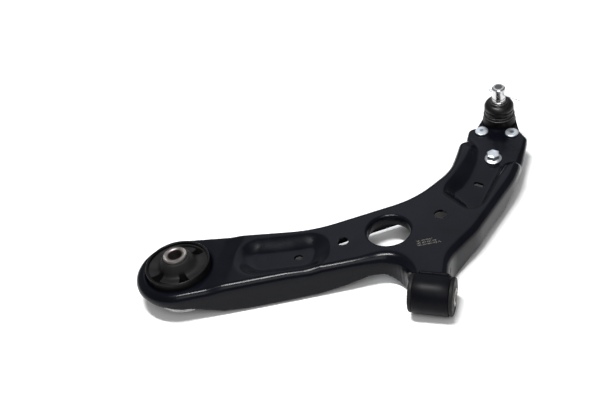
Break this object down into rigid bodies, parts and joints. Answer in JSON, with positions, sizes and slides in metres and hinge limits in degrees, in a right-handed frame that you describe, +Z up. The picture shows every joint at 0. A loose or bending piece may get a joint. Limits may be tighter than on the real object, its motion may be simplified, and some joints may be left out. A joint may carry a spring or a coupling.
{
  "type": "control arm",
  "caption": "Pressed-steel front lower control arm with a lengthwise front bush, an upright rear bush and a riveted ball joint.",
  "frame": {"origin": "centre of the front bush's bore", "axes": "+Z up along the rear bush's bore, +X forward along the line from the rear bush to the front bush, +Y outboard towards the ball joint"},
  "size_m": [0.4119, 0.371, 0.0902],
  "materials": {
    "e_coat": "glossy blue-black electrocoat",
    "forging_coat": "satin black coat over a forged skin",
    "rear_sleeve_coat": "satin grey-black",
    "plated_sleeve": "drawn steel",
    "machined_steel": "turned steel",
    "stud_steel": "bright turned steel",
    "zinc_plate": "bright zinc plate",
    "ring_wire": "drawn spring wire",
    "seat_plastic": "moulded acetal",
    "bush_rubber": "matt moulded rubber",
    "boot_rubber": "semi-gloss moulded rubber"
  },
  "bodies": {
    "arm": {"arm_pressing": "e_coat", "front_bush_tube": "e_coat", "tube_weld_beads": "e_coat", "front_bush_outer_sleeve": "plated_sleeve", "front_bush_rubber": "bush_rubber", "rear_bush_outer_sleeve": "rear_sleeve_coat", "rear_bush_rubber": "bush_rubber", "ball_joint_housing": "forging_coat", "ball_seat": "seat_plastic", "housing_cap": "forging_coat", "boot_lower_ring": "ring_wire", "ball_joint_rivets": "zinc_plate", "flange_bolt": "zinc_plate", "flange_nut": "zinc_plate"},
    "front_core": {"front_bush_inner_sleeve": "machined_steel"},
    "rear_core": {"rear_bush_inner_sleeve": "machined_steel"},
    "boot": {"dust_boot": "boot_rubber"},
    "boot_top": {"boot_upper_ring": "ring_wire"},
    "stud": {"ball_stud": "stud_steel", "split_pin": "zinc_plate"}
  },
  "joints": [
    {"name": "front_bush_twist", "type": "hinge", "parent": "arm", "child": "front_core", "pos_m": [0, 0, 0], "axis": [0.999, 0, -0.0436], "range_deg": [-20, 20], "stiffness_Nm_per_rad": 60, "deforming": ["front_bush_rubber"]},
    {"name": "rear_bush_cock", "type": "hinge", "parent": "arm", "child": "rear_core", "pos_m": [-0.288, 0, 0.01257], "axis": [0.999, 0, -0.0436], "range_deg": [-20, 20], "stiffness_Nm_per_rad": 60, "deforming": ["rear_bush_rubber"]},
    {"name": "ball_tilt_side", "type": "hinge", "parent": "arm", "child": "boot", "pos_m": [0.03529, 0.29852, 0.01063], "axis": [0.9994, 0, -0.0349], "range_deg": [-15, 15], "stiffness_Nm_per_rad": 1.5, "deforming": ["dust_boot"]},
    {"name": "ball_tilt_fore", "type": "hinge", "parent": "boot", "child": "boot_top", "pos_m": [0.03529, 0.29852, 0.01063], "axis": [0.003, 0.9962, 0.0871], "range_deg": [-15, 15], "stiffness_Nm_per_rad": 1.5, "deforming": ["dust_boot"]},
    {"name": "stud_spin", "type": "hinge", "parent": "boot_top", "child": "stud", "pos_m": [0.03529, 0.29852, 0.01063], "axis": [0.0348, -0.0872, 0.9956], "continuous": true}
  ],
  "couplings": [
    {"joint": "rear_bush_cock", "follows": "front_bush_twist", "ratio": 1}
  ]
}
